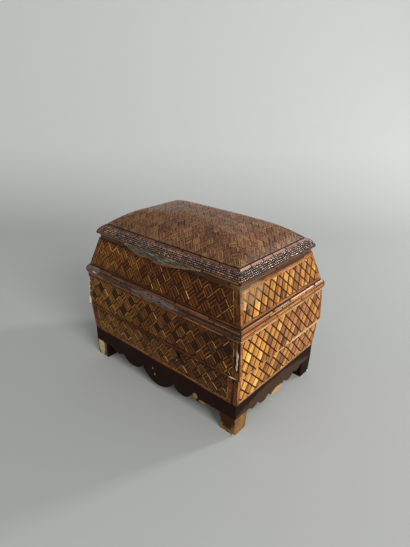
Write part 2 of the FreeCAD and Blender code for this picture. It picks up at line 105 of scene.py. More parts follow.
def camera():
    """The photograph's camera: a little above the casket, off its near right corner."""
    data = bpy.data.cameras.new("camera")
    data.lens = LENS
    data.clip_start = 0.01
    view = link(bpy.data.objects.new("camera", data))
    level = math.cos(CAMERA_DIP)
    ahead = Vector((-math.sin(CAMERA_TURN) * level, math.cos(CAMERA_TURN) * level,
                    -math.sin(CAMERA_DIP)))
    turn = ahead.to_track_quat("-Z", "Y").to_matrix() @ Matrix.Rotation(CAMERA_ROLL, 3, "Z")
    view.matrix_world = Matrix.Translation(CAMERA_PLACE) @ turn.to_4x4()
    bpy.context.scene.camera = view


def lamp(name, place, size, power, tint):
    """A square soft light at a place, turned to face the casket."""
    data = bpy.data.lights.new(name, "AREA")
    data.size = size
    data.energy = power
    data.color = tint
    light = link(bpy.data.objects.new(name, data))
    facing = (Vector((0, 0, 0.1)) - Vector(place)).to_track_quat("-Z", "Y")
    light.matrix_world = Matrix.Translation(place) @ facing.to_matrix().to_4x4()


def lights():
    """A small window behind the casket, a wide one to its right, and pale air all round."""
    lamp("window", (0.56, 1.05, 0.62), 0.17, 6.4, (1.0, 0.99, 0.97))
    lamp("wide_window", (2.05, -0.62, 1.10), 1.10, 42.5, (1.0, 0.985, 0.95))
    world = bpy.data.worlds.new("room")
    bpy.context.scene.world = world
    world.use_nodes = True
    sky = world.node_tree.nodes["Background"]
    sky.inputs["Color"].default_value = (0.80, 0.82, 0.82, 1)
    sky.inputs["Strength"].default_value = 0.58


# Node trees

class Nodes:
    """A tree of nodes that is put together one by one."""

    def feed(self, socket, value):
        """Gives a socket a value or another node's output."""
        if isinstance(value, bpy.types.NodeSocket):
            self.tree.links.new(value, socket)
        else:
            socket.default_value = value

    def node(self, kind, inputs=None, **settings):
        """Adds a node of this family, with its inputs by name or number."""
        item = self.tree.nodes.new(kind if "Node" in kind else self.FAMILY + kind)
        for key, value in settings.items():
            setattr(item, key, value)
        for key, value in (inputs or {}).items():
            self.feed(item.inputs[key], value)
        return item

    def out(self, kind, inputs=None, **settings):
        """Adds a node and gives its first output."""
        return self.node(kind, inputs, **settings).outputs[0]


class Growth(Nodes):
    """Geometry nodes with named inputs for their sizes, which turn a plan into straws."""

    FAMILY = "GeometryNode"
    KINDS = {float: "NodeSocketFloat", int: "NodeSocketInt", type(None): "NodeSocketMaterial"}

    def __init__(self, name, **sizes):
        self.tree = bpy.data.node_groups.new(name, "GeometryNodeTree")
        add = self.tree.interface.new_socket
        add("Plan", in_out="INPUT", socket_type="NodeSocketGeometry")
        add("Straws", in_out="OUTPUT", socket_type="NodeSocketGeometry")
        self.keys = {}
        for title, size in sizes.items():
            socket = add(title, in_out="INPUT", socket_type=self.KINDS[type(size)])
            if size is not None:
                socket.default_value = size
            self.keys[title] = socket.identifier
        self.given = self.node("NodeGroupInput").outputs

    def chance(self, least, most, salt=0):
        """A random number for each element, from the tree's seed."""
        seed = self.out("FunctionNodeIntegerMath", {0: self.given["Seed"], 1: salt})
        inputs = {2: least, 3: most, "Seed": seed}
        return self.node("FunctionNodeRandomValue", inputs, data_type="FLOAT").outputs[1]

    def facing(self):
        """The way each point of the plan faces, which comes with the plan."""
        return self.out("InputNamedAttribute", {"Name": "facing"}, data_type="FLOAT_VECTOR")

    def aimed(self, axis, way, **settings):
        """The turn that aims an axis along a way."""
        return self.out("FunctionNodeAlignRotationToVector", {"Vector": way}, axis=axis, **settings)

    def scaled(self, vector, share):
        inputs = {0: vector, "Scale": share}
        return self.out("ShaderNodeVectorMath", inputs, operation="SCALE")

    def ball(self, segments, rings, radius):
        inputs = {"Segments": segments, "Rings": rings, "Radius": radius}
        return self.out("SetShadeSmooth", {"Geometry": self.out("MeshUVSphere", inputs)})

    def end(self, geometry):
        """Makes the straws real, gives them their finish and hands them out."""
        whole = self.out("RealizeInstances", {"Geometry": geometry})
        inputs = {"Geometry": whole, "Material": self.given["Finish"]}
        self.node("NodeGroupOutput", {0: self.out("SetMaterial", inputs)})

    def grow(self, name, mesh, body, **sizes):
        """The plain mesh that the tree makes from a plan, as a piece that rides on a body."""
        piece = link(bpy.data.objects.new(name, mesh))
        growth = piece.modifiers.new("growth", "NODES")
        growth.node_group = self.tree
        for title, size in sizes.items():
            growth[self.keys[title]] = size
        view = bpy.context.evaluated_depsgraph_get()
        grown = bpy.data.meshes.new_from_object(
            piece.evaluated_get(view), preserve_all_data_layers=True, depsgraph=view)
        piece.modifiers.remove(growth)
        piece.data = grown
        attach(piece, body)


def flat_straw_growth():
    """Every face of the plan becomes one flat straw, narrower on top and not quite level."""
    tree = Growth("flat_straws", Thin=0.3 * MM, Thick=0.4 * MM, Top=0.9, Uneven=0.03 * MM, Seed=1,
                  Finish=None)
    given, plan = tree.given, tree.given["Plan"]
    inputs = {"Mesh": plan, "Offset Scale": tree.chance(given["Thin"], given["Thick"])}
    raised = tree.node("ExtrudeMesh", inputs, mode="FACES").outputs
    inputs = {"Geometry": raised["Mesh"], "Selection": raised["Top"], "Scale": given["Top"]}
    eased = tree.out("ScaleElements", inputs, domain="FACE")
    shift = tree.scaled(tree.out("InputNormal"), tree.chance(0.0, given["Uneven"], salt=5))
    inputs = {"Geometry": eased, "Selection": raised["Top"], "Offset": shift}
    both = tree.node("JoinGeometry")
    for part in (tree.out("SetPosition", inputs), tree.out("FlipFaces", {"Mesh": plan})):
        tree.feed(both.inputs[0], part)
    inputs = {"Geometry": both.outputs[0], "Distance": 0.002 * MM}
    tree.end(tree.out("MergeByDistance", inputs))
    return tree


def plait_growth():
    """Every edge of the plan becomes a row of short rounded straws, like a plait on a moulding."""
    tree = Growth("plaited_straws", Pitch=2.4 * MM, Length=2.6 * MM, Width=1.7 * MM,
                  Height=0.9 * MM, Seed=1, Finish=None)
    given = tree.given
    inputs = {"Curve": tree.out("MeshToCurve", {"Mesh": given["Plan"]}), "Length": given["Pitch"]}
    spots = tree.out("ResampleCurve", inputs, mode="LENGTH")
    inputs = {"Rotation": tree.aimed("X", tree.out("InputTangent")), "Vector": tree.facing()}
    turn = tree.out("FunctionNodeAlignRotationToVector", inputs, axis="Z", pivot_axis="X")
    skew = tree.out("ShaderNodeCombineXYZ", {"Z": tree.chance(-0.2, 0.2, salt=3)})
    inputs = {"Rotation": turn, "Rotate By": skew}
    turn = tree.out("FunctionNodeRotateRotation", inputs, rotation_space="LOCAL")
    inputs = {"X": given["Length"], "Y": given["Width"], "Z": given["Height"]}
    size = tree.scaled(tree.out("ShaderNodeCombineXYZ", inputs), tree.chance(0.8, 1.12, salt=9))
    inputs = {"Points": spots, "Instance": tree.ball(8, 5, 0.5), "Rotation": turn, "Scale": size}
    rows = tree.out("InstanceOnPoints", inputs)
    inputs = {"Geometry": rows, "Name": "tone", "Value": tree.chance(-0.25, 0.75, salt=21)}
    tree.end(tree.out("StoreNamedAttribute", inputs, data_type="FLOAT", domain="INSTANCE"))
    return tree


def screw_growth():
    """Every point of the plan becomes a low domed screw head that faces the point's way."""
    tree = Growth("screws", Radius=1.1 * MM, Proud=0.1, Finish=None)
    shape = tree.out("ShaderNodeCombineXYZ", {"X": 1.0, "Y": 1.0, "Z": tree.given["Proud"]})
    inputs = {"Geometry": tree.ball(12, 6, tree.given["Radius"]), "Scale": shape}
    inputs = {"Points": tree.given["Plan"], "Instance": tree.out("Transform", inputs),
              "Rotation": tree.aimed("Z", tree.facing())}
    tree.end(tree.out("InstanceOnPoints", inputs))
    return tree


FLAT_STRAWS = flat_straw_growth()
PLAITED_STRAWS = plait_growth()
SCREWS = screw_growth()


# Finishes

FINISHES = {}


def dimmed(shade, share):
    return tuple(share * part for part in shade)


class Finish(Nodes):
    """A material put together node by node round one glossy surface shader."""

    FAMILY = "ShaderNode"

    def __init__(self, name, roughness=0.5, **constants):
        self.material = FINISHES[name] = bpy.data.materials.new(name)
        self.material.use_nodes = True
        self.tree = self.material.node_tree
        self.tree.nodes.clear()
        self.shader = self.node("BsdfPrincipled", {"Roughness": roughness})
        for socket, amount in constants.items():
            self.set(socket.replace("_", " "), amount)
        self.node("OutputMaterial", {"Surface": self.shader.outputs["BSDF"]})
        self.place = self.node("TexCoord").outputs

    def set(self, socket, value):
        self.feed(self.shader.inputs[socket], value)

    def noise(self, scale, detail=3.0, roughness=0.55, chart="Object"):
        """A noise in object space or on a chart, stretched where it has a scale for each axis."""
        vector = self.place[chart]
        if isinstance(scale, tuple):
            vector, scale = self.out("Mapping", {"Vector": vector, "Scale": scale}), 1.0
        inputs = {"Vector": vector, "Scale": scale, "Detail": detail, "Roughness": roughness}
        return self.out("TexNoise", inputs)

    def own(self, name):
        """A number that comes with the mesh."""
        return self.node("Attribute", attribute_name=name).outputs["Fac"]

    def math(self, operation, *terms):
        return self.out("Math", dict(enumerate(terms)), operation=operation)

    def vector(self, operation, *terms):
        return self.out("VectorMath", dict(enumerate(terms)), operation=operation)

    def sum(self, *terms):
        """Adds terms up, each a pair of an output and the weight that it counts with."""
        total = 0.0
        for value, weight in terms:
            total = self.math("MULTIPLY_ADD", value, weight, total)
        return total

    def most(self, first, second):
        return self.math("MAXIMUM", first, second)

    def span(self, value, start, stop, to_start=0.0, to_stop=1.0):
        """Spreads the range from start to stop over another range, and holds it at its ends."""
        inputs = {"Value": value, "From Min": start, "From Max": stop, "To Min": to_start,
                  "To Max": to_stop}
        return self.out("MapRange", inputs)

    def ramp(self, value, *stops):
        """A row of colours, each a pair of its place from 0 to 1 and the colour."""
        item = self.node("ValToRGB", {"Fac": value})
        elements = item.color_ramp.elements
        while len(elements) < len(stops):
            elements.new(0.5)
        for element, (place, colour) in zip(elements, stops):
            element.position = place
            element.color = (*colour, 1)
        return item.outputs["Color"]

    def mix(self, factor, first, second):
        item = self.node("Mix", {"Factor": factor}, data_type="RGBA")
        for slot, colour in ((6, first), (7, second)):
            self.feed(item.inputs[slot], (*colour, 1) if isinstance(colour, tuple) else colour)
        return item.outputs[2]

    def patch(self, centre, radii, ragged=0.5, scale=300.0):
        """A ragged patch round a place on the casket, in millimetres: 1 inside it and 0 outside."""
        centre, radii = (tuple(part * MM for part in row) for row in (centre, radii))
        away = self.vector("SUBTRACT", self.place["Object"], centre)
        away = self.vector("DIVIDE", away, radii)
        away = self.node("VectorMath", {0: away}, operation="LENGTH").outputs["Value"]
        rough = self.noise(scale, 5.0, 0.7)
        edge = 1.0 + ragged / 2
        total = self.sum((away, 1.0), (rough, ragged))
        return self.span(total, edge - 0.08, edge + 0.08, 1.0, 0.0)

    def patched(self, colour, patches, mottle, start, stop, share):
        """Lays ragged patches over a colour. Each is mottled from a share of its shade to all."""
        for shade, centre, radii in patches:
            shades = self.ramp(mottle, (start, dimmed(shade, share)), (stop, shade))
            colour = self.mix(self.patch(centre, radii), colour, shades)
        return colour

    def bump(self, height, distance, strength):
        inputs = {"Height": height, "Distance": distance, "Strength": strength}
        self.set("Normal", self.out("Bump", inputs))


SOIL = (0.022, 0.013, 0.008)


def straw(name, golden, ruddy, soiled, roughness=0.42, coat=0.08, shine=0.2, dust_and_sheen=None):
    """Split straw under old varnish, from dark to light in two hues. Each straw's own tone and tint
    come with its mesh, its fibres run along it, and soil lies over it in patches. Grey lies over it
    in streaky patches where it is given: dust, and on the front band also a painted sheen."""
    finish = Finish(name, roughness, Coat_Weight=coat, Coat_Roughness=0.2, Specular_IOR_Level=shine)
    fibre = finish.noise((90, 1500, 1), 2.0, chart="UV")
    drift = finish.noise(38.0, 4.0, 0.6)
    tone = finish.sum((finish.own("tone"), 1.0), (fibre, 0.3), (drift, 0.45))
    tone = finish.span(tone, 0.38, 1.38)
    hues = [finish.ramp(tone, *zip((0.04, 0.5, 0.96), hue)) for hue in (ruddy, golden)]
    tint = finish.sum((finish.own("tint"), 1.0), (finish.noise(22.0), 0.8))
    colour = finish.mix(finish.span(tint, 0.1, 0.9), *hues)
    dirt = finish.span(finish.noise(120.0, 6.0, 0.7), soiled, soiled + 0.2)
    colour = finish.mix(dirt, colour, SOIL)
    dull = finish.sum((fibre, 0.22), (dirt, 0.22), (drift, 0.12))
    # Grey streaky patches: dust on the sides, and on the front band dust with a painted sheen.
    if dust_and_sheen:
        grey, *places = dust_and_sheen
        cover = reduce(finish.most, [finish.patch(*place) for place in places])
        specks = finish.span(finish.noise((130, 420, 900), 4.0, 0.8), 0.42, 0.62, 0.1, 0.95)
        colour = finish.mix(finish.math("MULTIPLY", cover, specks), colour, grey)
    finish.set("Base Color", colour)
    finish.set("Roughness", finish.span(dull, 0.1, 0.5, roughness - 0.12, roughness + 0.2))
    finish.bump(fibre, 0.12 * MM, 0.6)


def wood(name, dark, light, roughness=0.55, worn=None, patches=()):
    """Wood with its grain along the first axis of the object. Another colour shows where a noise
    passes a level, and in ragged patches."""
    finish = Finish(name, roughness, Specular_IOR_Level=0.05)
    rings = finish.noise((9, 160, 160), 6.0, 0.65)
    drift = finish.noise(30.0, 3.0)
    colour = finish.ramp(finish.sum((rings, 0.7), (drift, 0.4)), (0.3, dark), (0.75, light))
    if worn:
        shade, level = worn
        rub = finish.span(finish.noise(90.0, 8.0, 0.75), level, level + 0.04)
        colour = finish.mix(rub, colour, shade)
    finish.set("Base Color", finish.patched(colour, patches, rings, 0.3, 0.7, 0.72))
    finish.set("Roughness", finish.span(rings, 0.3, 0.7, roughness - 0.1, roughness + 0.15))
    finish.bump(rings, 0.2 * MM, 0.5)


def metal(name, clean, tarnish, roughness):
    """Old metal, dull and stained in patches."""
    finish = Finish(name, roughness, Metallic=0.9)
    stain = finish.noise(260.0, 6.0, 0.7)
    finish.set("Base Color", finish.ramp(stain, (0.4, clean), (0.6, tarnish)))
    finish.set("Roughness", finish.span(stain, 0.3, 0.7, roughness - 0.1, roughness + 0.25))
    finish.bump(stain, 0.1 * MM, 0.5)


def board(name, ground, lining, bare):
    """A case board: dark glue and stain outside, under the straw, with bare patches where straw is
    lost, and old lining paper inside."""
    finish = Finish(name, 0.7, Specular_IOR_Level=0.15)
    facing = finish.vector("MULTIPLY", finish.place["Object"], finish.place["Normal"])
    axes = finish.node("SeparateXYZ", {0: facing}).outputs
    outward = finish.sum((axes["X"], 1.0), (axes["Y"], 1.0))
    inside = finish.span(outward, -MM, MM, 1.0, 0.0)
    specks = finish.noise(240.0, 6.0, 0.7)
    outside = finish.ramp(specks, (0.35, ground), (0.7, dimmed(ground, 2.2)))
    outside = finish.patched(outside, bare, specks, 0.35, 0.65, 0.6)
    paper = finish.ramp(finish.noise(45.0, 6.0, 0.65), (0.3, dimmed(lining, 0.6)), (0.7, lining))
    finish.set("Base Color", finish.mix(inside, outside, paper))
    finish.bump(specks, 0.15 * MM, 0.6)


def lifted_veneer(name):
    """The torn strip under the rim: streaks of grey old glue, near-black streaks between them as
    painted shadow, and orange wood at a high tone.
    """
    finish = Finish(name, 0.45, Coat_Weight=0.15, Specular_IOR_Level=0.4)
    streak = finish.noise((70, 500, 700), 5.0, 0.75)
    # The near-black end of this ramp is painted shadow in the strip's folds.
    grey = finish.ramp(streak, (0.40, (0.010, 0.007, 0.004)), (0.53, (0.075, 0.060, 0.038)),
                       (0.66, (0.34, 0.31, 0.24)))
    orange = finish.ramp(streak, (0.35, (0.10, 0.030, 0.008)), (0.7, (0.42, 0.16, 0.045)))
    tone = finish.sum((finish.own("tone"), 1.0), (streak, 0.3))
    finish.set("Base Color", finish.mix(finish.span(tone, 0.55, 0.75), grey, orange))
    finish.bump(streak, 0.3 * MM, 0.8)


# The front palettes are darker than the side ones, partly from the front's own stain and soil and
# partly as painted shade, as the front faces away from the light. The side palettes are brighter in
# part as painted light from the right.
FRONT_GOLDEN = ((0.035, 0.013, 0.003), (0.27, 0.104, 0.016), (0.62, 0.31, 0.07))
FRONT_RUDDY = ((0.035, 0.011, 0.004), (0.20, 0.060, 0.013), (0.42, 0.16, 0.040))
SIDE_GOLDEN = ((0.16, 0.055, 0.010), (0.66, 0.27, 0.045), (0.98, 0.60, 0.14))
SIDE_RUDDY = ((0.09, 0.027, 0.010), (0.42, 0.145, 0.045), (0.68, 0.34, 0.16))
LID_GOLDEN = ((0.060, 0.030, 0.012), (0.27, 0.135, 0.050), (0.58, 0.35, 0.15))
LID_RUDDY = ((0.050, 0.018, 0.011), (0.24, 0.090, 0.046), (0.44, 0.21, 0.11))
FRONT_PALE = ((0.18, 0.080, 0.018), (0.50, 0.26, 0.07), (0.82, 0.53, 0.20))
PALE = ((0.22, 0.115, 0.035), (0.56, 0.34, 0.12), (0.85, 0.60, 0.27))
PALE_RUDDY = ((0.16, 0.065, 0.02), (0.46, 0.23, 0.08), (0.70, 0.44, 0.20))
# The bound palettes: the first two, for the front and back bands and the rim, are darkened in part
# as painted shade; the next two are a brighter copy of them for the end bands, as painted light
# from the right.
BOUND = ((0.030, 0.011, 0.004), (0.20, 0.075, 0.018), (0.48, 0.22, 0.06))
BOUND_RUDDY = ((0.022, 0.006, 0.003), (0.14, 0.036, 0.013), (0.36, 0.13, 0.05))
BOUND_PAINTED_LIGHT = ((0.12, 0.045, 0.013), (0.74, 0.31, 0.070), (0.98, 0.66, 0.23))
BOUND_RUDDY_PAINTED_LIGHT = ((0.09, 0.028, 0.010), (0.55, 0.18, 0.055), (0.88, 0.46, 0.18))
PLAITED = ((0.036, 0.015, 0.006), (0.24, 0.100, 0.030), (0.60, 0.32, 0.13))
PLAITED_RUDDY = ((0.024, 0.007, 0.004), (0.16, 0.050, 0.020), (0.42, 0.18, 0.08))
# Painted highlight: the pale pinkish straw along the top of the rim, on the right side only, where
# the light catches the moulding.
PAINTED_HIGHLIGHT_PINK = ((0.20, 0.09, 0.06), (0.55, 0.30, 0.22), (0.80, 0.55, 0.44))
RAW = ((0.34, 0.24, 0.12), (0.66, 0.52, 0.27), (0.88, 0.76, 0.50))
RAW_BROWN = ((0.24, 0.14, 0.06), (0.52, 0.36, 0.17), (0.78, 0.62, 0.38))
CREAM = ((0.45, 0.38, 0.28), (0.80, 0.72, 0.58), (0.95, 0.90, 0.80))
# Grey over the front band: old bloom and dust, and a painted sheen.
BLOOM_AND_PAINTED_SHEEN = (0.22, 0.205, 0.17)
FADED = (0.34, 0.22, 0.115)

# The front straws' darker palettes are partly painted shade; the side straw's brighter palette is
# partly painted light.
straw("front_straw", FRONT_GOLDEN, FRONT_RUDDY, 0.52, 0.42, 0.03, 0.1)
straw("side_straw", SIDE_GOLDEN, SIDE_RUDDY, 0.58, dust_and_sheen=(FADED, ((98, -50, 141), (12, 24, 11))))
straw("lid_straw", LID_GOLDEN, LID_RUDDY, 0.56, 0.42, 0.12, 0.3)
straw("light_straw", PALE, PALE_RUDDY, 0.62)
straw("front_light_straw", FRONT_PALE, FRONT_PALE, 0.60, 0.42, 0.03, 0.1)
straw("painted_highlight_straw", PAINTED_HIGHLIGHT_PINK, PAINTED_HIGHLIGHT_PINK, 0.60, 0.3, 0.4, 0.5)
straw("bound_straw", BOUND, BOUND_RUDDY, 0.55, 0.36, 0.15, 0.3,
      (BLOOM_AND_PAINTED_SHEEN, ((3, -76, 112), (36, 6, 4.0)), ((-98, -76, 116), (14, 9, 8))))
# A brighter copy of the bound straw for the end bands: painted light.
straw("bound_straw_painted_light", BOUND_PAINTED_LIGHT, BOUND_RUDDY_PAINTED_LIGHT, 0.56, 0.4, 0.08, 0.2)
straw("plaited_straw", PLAITED, PLAITED_RUDDY, 0.56, 0.24, 1.0, 0.6)
straw("raw_straw", RAW, RAW_BROWN, 0.68, 0.6, 0.0)
straw("cream_splinter", CREAM, RAW, 0.66, 0.6, 0.0)
lifted_veneer("lifted_veneer")
wood("plum_stain", (0.008, 0.0028, 0.002), (0.024, 0.009, 0.006), 0.5,
     ((0.11, 0.055, 0.03), 0.70), (
    # The right face of the plinth is lighter brown all over: partly wear, partly a painted sheen on
    # the side the light falls on.
    ((0.066, 0.037, 0.021), (105.3, 0, 14), (3, 74, 18)),
    ((0.50, 0.32, 0.15), (105, 2, 11), (6, 13, 6.5)),
    ((0.30, 0.19, 0.08), (54.4, -70.5, 20.5), (3.2, 3, 3.4)),
    ((0.34, 0.20, 0.09), (65.1, -70.5, 17.8), (6, 3, 1.6))))
wood("foot_wood", (0.050, 0.020, 0.007), (0.34, 0.18, 0.06), 0.55,
     ((0.025, 0.010, 0.006), 0.56), (
    ((0.014, 0.008, 0.006), (95, 61, 14), (30, 30, 15)),
    # Painted shade: the inner side of the front left foot, under the apron, is darkened.
    ((0.014, 0.008, 0.006), (-84, -60, 8), (6, 30, 18)),
    # The near foot's front is darker all over: partly its dark stain, partly painted shade, as it
    # faces away from the light.
    ((0.052, 0.020, 0.005), (95, -72.5, 14), (14, 3, 22)),
    ((0.62, 0.50, 0.30), (-98, -71, 12), (5.5, 4, 13))))
wood("bare_wood", (0.20, 0.115, 0.05), (0.42, 0.27, 0.13))
metal("old_brass", (0.52, 0.36, 0.14), (0.20, 0.13, 0.06), 0.4)
metal("dark_iron", (0.12, 0.11, 0.10), (0.10, 0.05, 0.03), 0.6)
board("case_board", (0.012, 0.006, 0.003), (0.38, 0.30, 0.20), (
    ((0.17, 0.11, 0.055), (98, -52, 143), (14, 24, 9)),
    ((0.90, 0.76, 0.56), (-108, -74, 86), (5, 6, 17.5))))

# The finish of each node of the frame, by how its name starts
NODE_FINISHES = (
    ("plinth", "plum_stain"), ("foot", "foot_wood"), ("hinge", "old_brass"), ("lock", "dark_iron"),
    ("drawer_front", "case_board"), ("drawer", "bare_wood"), ("base_board", "bare_wood"),
    ("dust_panel", "bare_wood"), ("", "case_board"))


def dress_frame():
    """Every board, moulding, hinge and lock part of the frame in its finish."""
    for name, piece in nodes.items():
        finish = next(finish for start, finish in NODE_FINISHES if name.startswith(start))
        piece.data.materials.clear()
        piece.data.materials.append(FINISHES[finish])


# Surfaces that straw is laid on

CLEAR = 50 * MM  # where a look at a surface starts, well outside it

def surface_of(node):
    """The node's surface, to look points up on."""
    mesh = nodes[node].data
    return BVHTree.FromPolygons([v.co for v in mesh.vertices], [p.vertices for p in mesh.polygons])


class Face:
    """A flat face of the casket, drawn as its outline in its own plane and seen from outside."""

    bent = False

    def __init__(self, side, low_z, low_out, high_z, high_out, trim=0.0):
        distance, reach = reach_of(side)
        turn = turned(side)
        slope = Vector((0, low_out - high_out, high_z - low_z))
        self.side = side
        self.up = turn @ slope.normalized()
        self.along = turn @ Vector((1, 0, 0))
        self.out = self.along.cross(self.up)
        self.origin = turn @ Vector((0, -(distance + low_out), low_z))
        foot, head = reach + low_out - trim, reach + high_out - trim
        self.outline = [Vector((-foot, 0)), Vector((foot, 0)), Vector((head, slope.length)),
                        Vector((-head, slope.length))]

    def lay_on(self, spot, height):
        return self.origin + self.along * spot.x + self.up * spot.y + self.out * height


class Moulding:
    """The outside of a moulding on one side, drawn as the run along it and the height."""

    bent = False

    def __init__(self, node, side):
        self.tree = surface_of(node)
        self.turn = turned(side)
        self.distance, self.reach = reach_of(side)
        self.found = {}

    def place(self, level):
        """The offset of the surface at a height, and its facing, as on the front."""
        level = round(level, 6)
        if level not in self.found:
            start = self.turn @ Vector((0, -self.distance - CLEAR, level))
            hit, facing, _, _ = self.tree.ray_cast(start, self.turn @ Vector((0, 1, 0)))
            back = self.turn.transposed()
            self.found[level] = -(back @ hit).y - self.distance, back @ facing
        return self.found[level]

    def lay_on(self, spot, height):
        out, facing = self.place(spot.y)
        return self.turn @ (Vector((spot.x, -(self.distance + out), spot.y)) + facing * height)

    def half(self, level):
        return self.reach + self.place(level)[0]


class Drape:
    """The lid's crown as a plan: a spot lies straight above its place in the plan. Its creases are
    eased, as straw and glue laid over them would be, which raises the rest a little."""

    bent = True

    CELL = 2 * MM
    ROUNDS = 16
    EASE = 0.2 * MM
    BED = 0.9 * MM
    BED_SLOPE = 0.12
    EDGE = 0.05 * MM

    def __init__(self, node):
        tree = surface_of(node)
        self.reach = high(node)
        above = self.reach.z + CLEAR
        inner = self.reach - Vector((1, 1, 0)) * self.EDGE
        self.columns, self.rows = (int(2 * half / self.CELL) + 1 for half in inner.xy)
        self.xs = numpy.linspace(-inner.x, inner.x, self.columns)
        self.ys = numpy.linspace(-inner.y, inner.y, self.rows)
        down = Vector((0, 0, -1))
        bare = numpy.array([[tree.ray_cast(Vector((x, y, above)), down)[0].z for x in self.xs]
                            for y in self.ys])
        eased = bare.copy()
        for _ in range(self.ROUNDS):
            middle = eased[1:-1, 1:-1]
            around = (eased[1:-1, 2:] + eased[1:-1, :-2] + eased[2:, 1:-1] + eased[:-2, 1:-1]) / 4
            eased[1:-1, 1:-1] = (middle + around) / 2
        from_edge = numpy.minimum.outer(inner.y - abs(self.ys), inner.x - abs(self.xs))
        bed = numpy.minimum(self.BED, from_edge * self.BED_SLOPE)
        self.heights = numpy.maximum(eased + bed, bare - self.EASE)

    def height_at(self, x, y):
        across = (x - self.xs[0]) / (self.xs[1] - self.xs[0])
        along = (y - self.ys[0]) / (self.ys[1] - self.ys[0])
        column = min(max(int(across), 0), self.columns - 2)
        row = min(max(int(along), 0), self.rows - 2)
        u, v = across - column, along - row
        near, far = (left * (1 - u) + right * u
                     for left, right in self.heights[row:row + 2, column:column + 2])
        return float(near * (1 - v) + far * v)

    def lay_on(self, spot, height):
        step = 0.5 * MM
        x, y = spot
        rise_x = (self.height_at(x + step, y) - self.height_at(x - step, y)) / (2 * step)
        rise_y = (self.height_at(x, y + step) - self.height_at(x, y - step)) / (2 * step)
        facing = Vector((-rise_x, -rise_y, 1)).normalized()
        return Vector((x, y, self.height_at(x, y))) + facing * height


# Plans of straws

CRUMB = (0.45 * MM) ** 2  # a straw of less than this area is left out
SHORTEST = 1.2 * MM  # and so is a shorter piece of a long straw
LOST = 0.0  # the share of long straws that have come off


def left_of(way):
    """The way turned a quarter to the left in its plane."""
    return Vector((-way.y, way.x))


def edges_of(outline):
    """The edges of a closed outline, each a pair of its ends."""
    return list(zip(outline, outline[1:] + outline[:1]))


def middle_of(outline):
    return sum(outline, Vector((0, 0))) / len(outline)


class Straws:
    """The plan of straws laid on surfaces, which the flat straw growth makes solid."""

    SUNK = 0.12 * MM

    def __init__(self, name, finish, body, bare=None):
        self.name, self.finish, self.body, self.bare = name, finish, body, bare
        self.points, self.faces, self.tones, self.tints, self.marks = [], [], [], [], []

    def lay(self, outline, along, surface, tone, tint):
        """Lays one straw: its outline on the surface and the direction of its fibres. None is laid
        where the surface is bare."""
        if self.bare and self.bare(surface.lay_on(middle_of(outline), 0.0) / MM):
            return
        if signed_area(outline) < 0:
            outline = outline[::-1]
        across = left_of(along)
        shift = Vector((dice.uniform(0, 9), dice.uniform(0, 9)))
        first = len(self.points)
        laid = [surface.lay_on(corner, -self.SUNK) for corner in outline]
        lift = Vector((0, 0, self.crest(outline, laid, surface) if surface.bent else 0.0))
        for corner, point in zip(outline, laid):
            self.points.append(point + lift)
            self.marks.append(shift + Vector((corner.dot(along), corner.dot(across))))
        self.faces.append(range(first, len(self.points)))
        self.tones.append(tone)
        self.tints.append(tint)

    def crest(self, outline, laid, surface):
        """How far the surface rises through a flat straw that crosses its crease."""
        rises = [0.0]
        for (start, stop), (one, two) in zip(edges_of(outline), edges_of(laid)):
            middle = surface.lay_on((start + stop) / 2, -self.SUNK)
            rises.append(middle.z - (one.z + two.z) / 2)
        return max(rises)

    def finished(self, thin=0.3, thick=0.42, top=0.9):
        """Grows the plan into a piece that rides on its body. Thin and thick are the least and the
        most that a straw shows above ground, in millimetres."""
        mesh = bpy.data.meshes.new(self.name)
        mesh.from_pydata([tuple(point) for point in self.points], [], self.faces)
        for name, values in (("tone", self.tones), ("tint", self.tints)):
            mesh.attributes.new(name, "FLOAT", "FACE").data.foreach_set("value", values)
        chart = mesh.uv_layers.new(name="straw")
        for loop in mesh.loops:
            chart.data[loop.index].uv = self.marks[loop.vertex_index]
        FLAT_STRAWS.grow(
            self.name, mesh, self.body, Thin=thin * MM + self.SUNK, Thick=thick * MM + self.SUNK,
            Top=top, Uneven=0.05 * MM, Seed=len(self.faces), Finish=FINISHES[self.finish])


def signed_area(outline):
    """What a flat outline encloses, which is negative if its corners go round clockwise."""
    return sum((one.x * two.y - two.x * one.y for one, two in edges_of(outline)), 0.0) / 2


def clipped(outline, edge_point, inward):
    """The part of a convex outline on the inner side of a line."""
    kept = []
    for corner, following in edges_of(outline):
        here, there = ((end - edge_point).dot(inward) for end in (corner, following))
        if here >= 0:
            kept.append(corner)
        if here * there < 0:
            kept.append(corner.lerp(following, here / (here - there)))
    return kept


def inset(outline, margins):
    """A convex outline, anticlockwise, with each of its edges moved inward by its own margin."""
    result = outline
    for (corner, following), margin in zip(edges_of(outline), margins):
        inward = left_of((following - corner).normalized())
        result = clipped(result, corner + inward * margin, inward)
    return result


def within(outline, field):
    """The part of a straw that lies inside a convex field, or nothing if it is only a crumb."""
    for corner, following in edges_of(field):
        outline = clipped(outline, corner, left_of((following - corner).normalized()))
        if len(outline) < 3:
            return []
    return outline if abs(signed_area(outline)) > CRUMB else []


